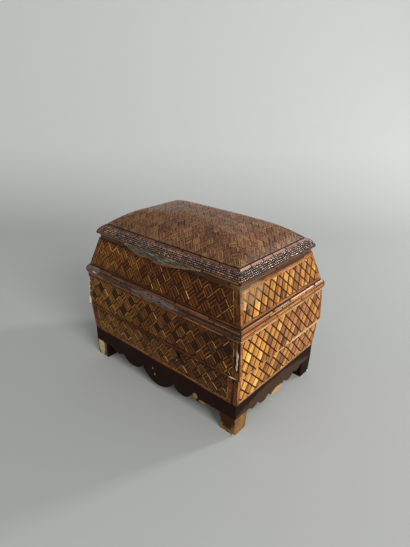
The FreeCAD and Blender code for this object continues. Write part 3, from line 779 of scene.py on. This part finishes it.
class Lattice:
    """Blocks of split straw in slanting rows. Fall and climb are the two sides of a block, and
    counts is what a block may be split in. Sizes are in millimetres."""

    def __init__(self, fall, climb, counts, block_gap, end_gap, split_gap, stripe, crosswise):
        self.fall, self.climb = Vector(fall) * MM, Vector(climb) * MM
        self.counts, self.stripe, self.crosswise = counts, stripe, crosswise
        self.block_gap, self.end_gap, self.split_gap = block_gap * MM, end_gap * MM, split_gap * MM

    def places(self, field):
        """The row, column and first corner of every block that may reach into the field."""
        reach = max(corner.length for corner in field)
        least = min(corner.y for corner in field) - 2 * self.climb.y
        most = max(corner.y for corner in field) + 2 * self.climb.y
        count = int(2 * reach / min(self.fall.x, self.climb.x)) + 2
        for row in range(-count, count):
            for column in range(-count, count):
                start = self.fall * column + self.climb * row
                if abs(start.x) < reach + 20 * MM and least < start.y < most:
                    yield row, column, start

    def lay_blocks(self, straws, surface, field, tone_of):
        """Fills a field with blocks, each split in darker and lighter stripes in turn, which lie
        crosswise in every other block if the lattice says so."""
        for row, column, start in self.places(field):
            tone, tint = tone_of(start + (self.fall + self.climb) / 2, row, column)
            across, along = self.fall, self.climb
            if self.crosswise and (row + column) % 2:
                across, along = along, across
            count = dice.choice(self.counts)
            end = self.end_gap / (2 * along.length)
            gaps = [self.block_gap] + [self.split_gap] * (count - 1) + [self.block_gap]
            for part in range(count):
                near, far = (gap / (2 * across.length) for gap in gaps[part:part + 2])
                near = across * (part / count + near)
                far = across * ((part + 1) / count - far)
                outline = [start + side + along * stop for side, stop in (
                    (near, end), (far, end), (far, 1 - end), (near, 1 - end))]
                outline = within(outline, field)
                if outline:
                    stripe = self.stripe * dice.uniform(0.3, 1.0) * (1 if part % 2 else -1)
                    straws.lay(outline, along.normalized(), surface, tone + stripe, tint)

    def lay_dashes(self, straws, surface, field, falling, climbing, width, reach, tones):
        """Thin light straws in the joints between blocks, one to each, so that they read as dashes.
        Falling and climbing are how likely a joint of an even or an odd row or column has one."""
        for row, column, start in self.places(field):
            for along, odds in ((self.fall, falling[row % 2]), (self.climb, climbing[column % 2])):
                if dice.random() >= odds:
                    continue
                way = along.normalized()
                half = left_of(way) * width / 2 * dice.uniform(0.75, 1.2)
                head = start + along * (reach[0] + dice.uniform(-0.05, 0.08))
                tail = start + along * (reach[1] - dice.uniform(0.0, 0.14))
                outline = within([head - half, tail - half, tail + half, head + half], field)
                if outline:
                    straws.lay(outline, way, surface, dice.uniform(*tones), dice.random())


SIDE_BLOCKS = Lattice((6.9, -6.9), (4.5, 7.5), (1, 2, 2, 3), 1.9, 1.2, 0.4, 0.16, False)
FRONT_BLOCKS = Lattice((6.6, -7.2), (6.3, 7.2), (5, 6), 0.25, 0.25, 0.3, 0.24, True)
LID_BLOCKS = Lattice((4.6, -4.6), (4.6, 4.6), (4, 4, 5), 0.36, 0.36, 0.32, 0.18, True)


def pieced(length):
    """Where the joints come along a run that is pieced from straws of a usual length."""
    stops = [0.0]
    while stops[-1] < 1:
        stops.append(min(1.0, stops[-1] + length * dice.uniform(0.5, 1.4)))
    return list(zip(stops, stops[1:]))


def long_straws(straws, surface, near, far, length, tone, tint=0.0, gap=0.1):
    """A row of long straws between a near line and a far line, each a pair of its ends."""
    run = (near[1] - near[0]).length
    along = (near[1] - near[0]).normalized()
    for start, stop in pieced(length * MM / run):
        start, stop = start + gap * MM / run, stop - gap * MM / run
        if (stop - start) * run < SHORTEST or dice.random() < LOST:
            continue
        outline = [near[0].lerp(near[1], start), near[0].lerp(near[1], stop),
                   far[0].lerp(far[1], stop), far[0].lerp(far[1], start)]
        straws.lay(outline, along, surface, tone + dice.uniform(-0.22, 0.22),
                   tint + dice.uniform(-0.2, 0.2))


def border(straws, face, outer, inner, tone, length, edges, tint=0.0, end_length=None):
    """One round of long straws between two outlines, mitred at the corners. Those at its two ends
    may have a usual length of their own."""
    gap = 0.12
    lines = list(zip(edges_of(outer), edges_of(inner)))
    for place in edges:
        near, far = lines[place]
        inward = (far[0] - near[0] + far[1] - near[1]).normalized() * (gap * MM)
        near = (near[0] + inward, near[1] + inward)
        usual = end_length if end_length and place % 2 else length
        long_straws(straws, face, near, far, usual, tone, tint, gap)


def round_moulding(straws, surface, low_level, high_level, length, tone, tint):
    """A row of long straws along a moulding between two heights, mitred at its ends."""
    gap = 0.15
    lines = []
    for level in (low_level, high_level):
        half = surface.half(level) - gap * MM
        lines.append((Vector((-half, level)), Vector((half, level))))
    long_straws(straws, surface, *lines, length, tone, tint, gap)


# Straw on the case and the drawer

def panel_faces(side):
    """The three faces of a side, from the plinth up, with the band over the joint left out."""
    rise = (BAND_LOW - SEAM) / (WAIST - SEAM)
    band_low_out = SEAM_OUT + (WAIST_OUT - SEAM_OUT) * rise
    band_high_out = WAIST_OUT + (NECK_OUT - WAIST_OUT) * (BAND_HIGH - WAIST) / (NECK - WAIST)
    return {
        "lower": Face(side, PLINTH_TOP, 0.0, SEAM, LOWER_FLARE),
        "middle": Face(side, SEAM, SEAM_OUT, BAND_LOW, band_low_out),
        "upper": Face(side, BAND_HIGH, band_high_out, NECK, NECK_OUT),
    }


GOLDEN_SPOT = Vector((-52 * MM, 22 * MM))
GOLDEN_REACH = 26 * MM


def side_tone(stage, spot, row, column):
    """On the right and left, blocks differ strongly, and some near one end are golden."""
    block = random.Random(f"{row}:{column}")
    away = (spot - GOLDEN_SPOT).length / GOLDEN_REACH
    golden = 0.05 if stage == "upper" else max(0.0, 1 - away)
    tone = 0.38 + block.choice((-0.2, -0.06, 0.0, 0.08, 0.22)) + block.uniform(-0.1, 0.1)
    return tone + 0.3 * golden, block.uniform(-0.3, 0.7) + 0.5 * golden


def front_tone(stage, spot, row, column):
    """On the front and back, every fourth block is stained dark, most in the middle stage."""
    block = random.Random(f"{row}/{column}")
    stained = (-0.4 if stage == "middle" else -0.14) if row % 2 and column % 2 else 0.0
    warm = -0.5 * spot.x / HALF_WIDTH
    ruddy = 0.35 if stage == "upper" else 0.0
    tone = 0.25 + stained + 0.2 * warm + block.uniform(-0.05, 0.05)
    return tone, block.uniform(-0.2, 0.5) + warm - ruddy


def lid_tone(spot, row, column):
    block = random.Random(f"{row}|{column}")
    return 0.34 + block.uniform(-0.14, 0.14), block.uniform(-0.5, 0.5)


# For the long sides and the others: what the borders take at the bottom, at the top and at the
# ends of each stage, in millimetres, and which edges have a light line
RAILS = {
    True: {"lower": (2.6, 1.6, 6.0, (0, 1, 3)), "middle": (2.4, 2.0, 6.0, (1, 3)),
           "upper": (1.2, 1.2, 6.0, (1, 3))},
    False: {"lower": (2.0, 0.6, 3.2, (0,)), "middle": (0.3, 1.0, 3.2, (0, 2)),
            "upper": (2.2, 4.0, 3.2, (2,))},
}
LIGHT_STRAW = (0.38, 0.55, 0.8)  # the least and most that it stands proud, and its top's share


def lay_panel(straws, light, face, stage):
    """One panel: rows of border straws, thin light lines inside them, and the blocks."""
    foot, head, end, light_edges = RAILS[face.side in LONG_SIDES][stage]
    margins = [rail * MM for rail in (foot, end, head, end)]
    rows, line, pale = (3, 0.6 * MM, 0.25) if face.side in LONG_SIDES else (2, 0.9 * MM, 0.55)
    outer = inset(face.outline, (0.25 * MM,) * 4)
    for row in range(rows):
        inner = inset(face.outline, [margin * (row + 1) / rows for margin in margins])
        border(straws, face, outer, inner, (0.16, 0.38, 0.2)[row], 30, range(4), -0.1, 9)
        outer = inner
    inner = inset(face.outline, [margin + line for margin in margins])
    border(light, face, outer, inner, pale, 18, light_edges)
    rest = [edge for edge in range(4) if edge not in light_edges]
    border(straws, face, outer, inner, 0.1, 24, rest)
    field = inset(face.outline, [margin + line + 0.15 * MM for margin in margins])
    if face.side in LONG_SIDES:
        FRONT_BLOCKS.lay_blocks(straws, face, field, partial(front_tone, stage))
        FRONT_BLOCKS.lay_dashes(light, face, field, (0.92, 0.3), (0.55, 0.25), 0.42 * MM,
                                (0.02, 0.98), (-0.05, 0.8))
    else:
        SIDE_BLOCKS.lay_blocks(straws, face, field, partial(side_tone, stage))


def uneven(place, *waves):
    """An uneven amount along an edge, the sum of waves that each have a size and a pace."""
    return sum(size * math.sin(place * pace) for size, pace in waves)


def bare_front(place):
    """Where the front of the case has lost its straw: ragged strips at both ends of its middle."""
    if place.y > -70:
        return False
    ragged = uneven(place.z, (0.7, 0.9), (0.5, 2.3))
    far_end = place.x < -105.2 + ragged and 69 < place.z < 103
    near_end = place.x > 105.4 + ragged and 79 < place.z < 101
    return far_end or near_end


def bare_right(place):
    """Where the right side has lost its straw: at the near top corner."""
    return place.x > 0 and place.z > 118 and (place.y + 66) / 22 + (149 - place.z) / 7 < 1.0


def bare_keyhole(place):
    """The worn place round the keyhole, and a lost straw beside it."""
    worn = Vector(((place.x - 34.0) / 1.05, (place.z - 59.4) / 1.25)).length < 4.2
    beside = Vector((place.x - 25.9, place.z - 61.7)).length < 1.5
    return worn or beside


BARE = {"front": bare_front, "right": bare_right}


def panel_plans(name, side, body, bare):
    """The plans of a panel's straw and of its light straw."""
    kinds = ("side_straw", "light_straw")
    if side in LONG_SIDES:
        kinds = ("front_straw", "front_light_straw")
    pieces = zip(("straw_" + name, "light_straw_" + name), kinds)
    return [Straws(piece, kind, body, bare) for piece, kind in pieces]


def dress_side(side):
    """Straw on the faces of one side of the case. The drawer takes the front's lowest face, where
    only the ends of the side boards show."""
    case, light = panel_plans(side, side, "case", BARE.get(side))
    for stage, face in panel_faces(side).items():
        if side == "front" and stage == "lower":
            board_end = high("lower_right").x - high("drawer_front").x - 0.6 * MM
            split = [inset(face.outline, (0.2 * MM, share * board_end) * 2)
                     for share in (0.06, 0.5, 1.0)]
            for outer, inner in zip(split, split[1:]):
                border(case, face, outer, inner, 0.34, 16, (1, 3))
        else:
            lay_panel(case, light, face, stage)
    case.finished()
    light.finished(*LIGHT_STRAW)


def dress_drawer():
    """Straw on the drawer's front, which is the front's lowest face between the side boards."""
    bottom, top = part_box("drawer_front")
    face = Face("front", bottom.z, 0.0, top.z, LOWER_FLARE, HALF_WIDTH - top.x + LOWER_FLARE)
    front, light = panel_plans("drawer", "front", "drawer", bare_keyhole)
    lay_panel(front, light, face, "lower")
    front.finished()
    light.finished(*LIGHT_STRAW)


def dress_bands():
    """Long straws round the waist bands, with a thin light one along each edge."""
    # The end bands take the brighter copy of the bound straw: painted light, as the right side
    # faces the light.
    bands = {True: Straws("straw_bands", "bound_straw", "case"),
             False: Straws("straw_end_bands", "bound_straw_painted_light", "case")}
    light = Straws("light_straw_bands", "light_straw", "case")
    levels = [BAND_LOW + rise * MM for rise in (0.5, 1.6, 2.7, 3.9, 5.1, 6.3, 7.5, 8.7, 10.0)]
    tones = (-0.1, 0.35, 0.0, 0.4, 0.2, -0.05, 0.42, 0.3)
    for side in SIDES:
        surface = Moulding(f"waist_band_{side}", side)
        bound = bands[side in LONG_SIDES]
        for near, far, tone in zip(levels, levels[1:], tones):
            round_moulding(bound, surface, near, far - 0.15 * MM, 40, tone, 0.1)
        face = panel_faces(side)["middle"]
        lines = [[Vector((corner.x, corner.y - drop * MM)) for corner in face.outline[:1:-1]]
                 for drop in (1.4, 0.2)]
        long_straws(bound if side in LONG_SIDES else light, face, *lines, 30, 0.6)
    for bound in bands.values():
        bound.finished(0.3, 0.42, 0.85)
    light.finished(0.45, 0.6, 0.8)


# Lid

def dress_crown():
    """Blocks of straw laid crosswise all over the crowned panel of the lid."""
    drape = Drape("crown_panel")
    x, y = (half - 0.5 * MM for half in drape.reach.xy)
    field = [Vector(corner) for corner in ((-x, -y), (x, -y), (x, y), (-x, y))]
    crown = Straws("straw_crown", "lid_straw", "lid")
    light = Straws("light_straw_crown", "light_straw", "lid")
    LID_BLOCKS.lay_blocks(crown, drape, field, lid_tone)
    LID_BLOCKS.lay_dashes(light, drape, field, (0.7, 0.7), (0.7, 0.7), 0.45 * MM,
                          (0.12, 0.88), (-0.3, 0.25))
    crown.finished(0.4, 0.5)
    light.finished(0.5, 0.62, 0.8)


def facing_plan(name, spots, edges=()):
    """A plan of spots, each a point and the way that it faces."""
    plan = bpy.data.meshes.new(name)
    plan.from_pydata([tuple(spot) for spot, _ in spots], edges, [])
    facings = [part for _, facing in spots for part in facing]
    plan.attributes.new("facing", "FLOAT_VECTOR", "POINT").data.foreach_set("vector", facings)
    return plan


def dress_rim():
    """Plaited rows of short straws on the rim's quarter round, and long straws above and below. The
    topmost row on the right is pale pinkish straw, a painted highlight.
    """
    bottom, top = low("rim_front").z, high("rim_front").z
    bound = Straws("straw_rim", "bound_straw", "lid")
    highlight_row = Straws("painted_highlight_straw_rim", "painted_highlight_straw", "lid")
    spots = []
    for side in SIDES:
        surface = Moulding(f"rim_{side}", side)
        for near, far, *look in (
                (0.3, 1.7, 50, 0.42, 0.4), (1.85, 3.3, 40, 0.3, 0.2), (5.1, 6.6, 40, 0.38, 0.4)):
            round_moulding(bound, surface, bottom + near * MM, bottom + far * MM, *look)
        # Painted highlight: only the right side's topmost row is pale pinkish straw.
        topmost = highlight_row if side == "right" else bound
        round_moulding(topmost, surface, top - 1.3 * MM, top - 0.15 * MM, 30, 0.3, 0.0)
        for place, rise in enumerate((7.6, 9.15, 10.7, 12.1, 13.1)):
            level = bottom + rise * MM
            half = surface.half(level) - 1.0 * MM - (place % 2) * 1.2 * MM
            facing = surface.turn @ surface.place(level)[1]
            spots += [(surface.lay_on(Vector((end, level)), 0.0), facing) for end in (-half, half)]
    bound.finished(0.25, 0.36, 0.85)
    highlight_row.finished(0.3, 0.42, 0.8)
    rows = facing_plan("rim_rows", spots, [(start, start + 1) for start in range(0, len(spots), 2)])
    PLAITED_STRAWS.grow("plaited_rim", rows, "lid", Finish=FINISHES["plaited_straw"])


# Wear

def solid(name, finish, body, points, faces, tones, smooth=False):
    """A piece made of closed shapes, each of whose faces has its tone."""
    mesh = bpy.data.meshes.new(name)
    mesh.from_pydata([tuple(point) for point in points], [], faces)
    mesh.attributes.new("tone", "FLOAT", "FACE").data.foreach_set("value", tones)
    mesh.polygons.foreach_set("use_smooth", [smooth] * len(faces))
    mesh.materials.append(FINISHES[finish])
    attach(link(bpy.data.objects.new(name, mesh)), body)


def splinters(name, finish, body, slivers):
    """Slivers pointed at both ends, each a foot, a tip and a width in millimetres."""
    points, faces, tones = [], [], []
    for foot, tip, width in slivers:
        foot, tip = Vector(foot) * MM, Vector(tip) * MM
        along = (tip - foot).normalized()
        side = along.orthogonal().normalized()
        across = along.cross(side)
        waist = foot.lerp(tip, dice.uniform(0.3, 0.6))
        first = len(points)
        points += [foot, tip]
        for place, arm in enumerate((side, across, -side, -across)):
            points.append(waist + arm * width * MM / 2 * dice.uniform(0.6, 1.0))
            one, two = first + 2 + place, first + 2 + (place + 1) % 4
            faces += [(first, two, one), (first + 1, one, two)]
            tones += [dice.uniform(0.2, 0.7)] * 2
    solid(name, finish, body, points, faces, tones)


def sheet_piece(name, finish, body, shares, columns, spot_at, back, tones):
    """A thin sheet closed by the same sheet moved back. A spot of it lies at a share of its width
    and in a column, and each band between two shares has its tone."""
    front = [spot_at(share, column) for share in shares for column in range(columns)]
    count, rows = len(front), len(shares)
    faces, values = [], []
    for row in range(rows - 1):
        for first in range(row * columns, row * columns + columns - 1):
            quad = (first, first + 1, first + 1 + columns, first + columns)
            faces += [quad, [corner + count for corner in reversed(quad)]]
            values += [tones[row]] * 2
    rim = [*range(columns), *range(2 * columns - 1, count, columns),
           *reversed(range(count - columns, count - 1)),
           *reversed(range(columns, count - columns, columns))]
    rim_faces = [(two, one, one + count, two + count) for one, two in edges_of(rim)]
    values += [tones[-1]] * len(rim_faces)
    points = front + [point + back for point in front]
    solid(name, finish, body, points, faces + rim_faces, values, True)


# The lower edge of the torn veneer: how far along the front and how high, in millimetres
TORN_EDGE = ((-50, 154.0), (-42, 149.6), (-34, 146.8), (-26, 146.0), (-16, 147.2), (-10.5, 148.4),
             (-9.5, 145.6), (-2, 144.6), (8, 145.2), (20, 147.6), (34, 150.4), (46, 152.8),
             (54, 154.4))


def torn_veneer():
    """The strip of veneer that has come off under the front of the rim and hangs in a curve."""
    wall = low("rim_front").y
    top, columns = 155.2, 66
    xs, bottoms = zip(*TORN_EDGE)

    def spot(share, column):
        x = xs[0] + (xs[-1] - xs[0]) * column / (columns - 1)
        drop = top - numpy.interp(x, xs, bottoms) - 0.35 * math.sin(x * 1.7)
        curl = 1.5 * math.sin(math.pi * share) * drop / 10 + 0.25 * math.sin(x * 0.8 + 4 * share)
        return Vector((x * MM, wall - (0.5 + curl + 0.6 * share) * MM, (top - drop * share) * MM))

    sheet_piece("torn_veneer", "lifted_veneer", "lid", (1.0, 0.82, 0.66, 0.48, 0.3, 0.12, 0.0),
                columns, spot, Vector((0, 0.4 * MM, 0)), (1.0, 0.55, 0, 0, 0, 0))


def raw_seam():
    """The bare edge of the middle stage on the right, where its straw has chipped off."""
    columns, start, run = 60, 9.5, 64.6

    def spot(share, column):
        y = start + run * column / (columns - 1)
        wide = 0.7 + 1.9 * min(1.0, (y - start) / 6) + uneven(y, (0.35, 0.9), (0.25, 2.7))
        bulge = 0.8 * math.sin(math.pi * (0.2 + 0.6 * share)) + 0.1 * math.sin(y * 1.9 + 5 * share)
        return Vector((109.1 + bulge, y, 67.9 + wide * share)) * MM

    sheet_piece("raw_seam", "raw_straw", "case", (0.0, 0.3, 0.7, 1.0), columns, spot,
                Vector((-0.9 * MM, 0, 0)), (0.4, 0.65, 0.3))


def bare_end():
    """The front end of the left board of the middle stage, where its pale end grain shows."""
    face = panel_faces("front")["middle"]
    foot, _, _, head = face.outline
    columns, tall = 36, 34.0

    def spot(share, column):
        up = 0.9 * MM + column * tall / (columns - 1) * MM
        wide = (4.2 + uneven(column, (0.35, 0.8), (0.3, 2.1))) * MM
        edge = foot.x + (head.x - foot.x) * up / head.y + 0.05 * MM
        return face.lay_on(Vector((edge + wide * share, up)), 0.3 * MM)

    sheet_piece("bare_end", "cream_splinter", "case", (1.0, 0.5, 0.0), columns, spot,
                Vector((0, 0.6 * MM, 0)), (0.85, 1.0))


def chips():
    """Broken wood: the near corner, chips along the edges, on the apron and round the keyhole."""
    corner = []
    for _ in range(13):
        x, z = dice.uniform(105.6, 107.6), dice.uniform(78, 93)
        top = z + dice.uniform(4, 12)
        tip = (x + dice.uniform(-0.5, 0.5), -74.7 - dice.uniform(0, 0.7), min(top, 102))
        corner.append(((x, -74.7, z), tip, dice.uniform(0.5, 1.2)))
    corner += [((98 + 2.2 * step, -75.0, 69.2 + 0.3 * step), (103 + 2.2 * step, -75.1, 70.4), 1.5)
               for step in range(3)]
    splinters("corner_splinters", "cream_splinter", "case", corner)
    splinters("edge_chips", "cream_splinter", "case", (
        ((-96, -75.3, 113.5), (-88, -75.2, 112.2), 2.0),
        ((-88, -74.6, 110.4), (-76, -74.7, 109.2), 0.7),
        ((105.3, -10.5, 8.4), (105.2, -9.0, 6.6), 2.0),
        ((105.3, 15.3, 15.4), (105.2, 14.0, 12.9), 1.8),
        ((102, -70.8, 2.2), (104.6, -70.6, 0.8), 1.6),
        ((105.0, 69, 1.2), (104.5, 66, 2.6), 1.8),
        ((-7.2, -70.7, 25.2), (-6.5, -70.7, 23.4), 0.9),
        ((-4.6, -70.7, 18.6), (-3.5, -70.7, 17.0), 0.9)))
    splinters("drawer_chips", "cream_splinter", "drawer", (
        ((30.0, -72.3, 53.9), (31.6, -72.3, 52.8), 1.0),
        ((54.5, -73.0, 66.9), (60.5, -73.0, 66.2), 0.7)))


def screws(name, body, spots, proud=0.1):
    """Screw heads, each a spot and the way it faces."""
    SCREWS.grow(name, facing_plan(name, spots), body, Proud=proud, Finish=FINISHES["dark_iron"])


def dress_hardware():
    """Screw heads on the hinge leaves and on the lock."""
    for leaf, body, way, y in (("wall", "case", -1, 60.6), ("lid", "lid", 1, 57.6)):
        spots = []
        for hand in ("left", "right"):
            node = f"hinge_{leaf}_leaf_{hand}"
            tree, least, most = surface_of(node), low(node), high(node)
            for share in (0.22, 0.78):
                x = least.x + (most.x - least.x) * share
                start = Vector((x, y * MM, least.z - way * CLEAR))
                spots.append((tree.ray_cast(start, Vector((0, 0, way)))[0], (0, 0, -way)))
        screws(f"hinge_screws_{leaf}", body, spots)
    least, most = low("lock_case"), high("lock_case")
    edge = 2.2 * MM
    spots = [(Vector((x, most.y, z)), (0, 1, 0)) for x in (least.x + edge, most.x - edge)
             for z in (least.z + edge, most.z - edge)]
    screws("lock_screws", "drawer", spots, 0.35)


# Floor

def floor():
    """A pale sheet under the casket that curves up into the wall behind it. The camera and
    reflections see it paler as it goes back, and it keeps the casket's shadow."""
    size, bend, rise, start, steps, half = 3.0, 0.7, 3.0, 0.5, 16, 4
    turns = [math.pi / 2 * step / steps for step in range(steps + 1)]
    profile = [(-size, 0.0)]
    profile += [(start + bend * math.sin(turn), bend * (1 - math.cos(turn))) for turn in turns]
    profile.append((start + bend, rise))
    ahead = Vector((-math.sin(CAMERA_TURN), math.cos(CAMERA_TURN), 0))
    across = Vector((math.cos(CAMERA_TURN), math.sin(CAMERA_TURN), 0))
    points = [across * side + ahead * run + Vector((0, 0, up))
              for side in (-half, half) for run, up in profile]
    count = len(profile)
    faces = [(place, place + count, place + count + 1, place + 1) for place in range(count - 1)]
    mesh = bpy.data.meshes.new("sheet")
    mesh.from_pydata(points, [], faces)
    mesh.polygons.foreach_set("use_smooth", [True] * len(faces))
    finish = Finish("pale_sheet", 0.9)
    finish.set("Base Color", (0.45, 0.46, 0.455, 1))
    mesh.materials.append(finish.material)
    axes = finish.node("SeparateXYZ", {0: finish.place["Object"]}).outputs
    away = finish.sum((axes["X"], ahead.x), (axes["Y"], ahead.y), (axes["Z"], 1.0))
    path = finish.node("LightPath").outputs
    seen = finish.most(path["Is Camera Ray"], path["Is Glossy Ray"])
    seen = finish.most(seen, path["Is Transmission Ray"])
    glow = finish.span(away, 0.45, 1.0, 0.0, 0.16)
    finish.set("Emission Color", (1.0, 1.0, 0.985, 1))
    finish.set("Emission Strength", finish.math("MULTIPLY", glow, seen))
    link(bpy.data.objects.new("sheet", mesh))


camera()
lights()
floor()
dress_frame()
for side in SIDES:
    dress_side(side)
dress_drawer()
dress_bands()
dress_crown()
dress_rim()
torn_veneer()
raw_seam()
bare_end()
chips()
dress_hardware()

bpy.context.scene.view_settings.view_transform = "Standard"
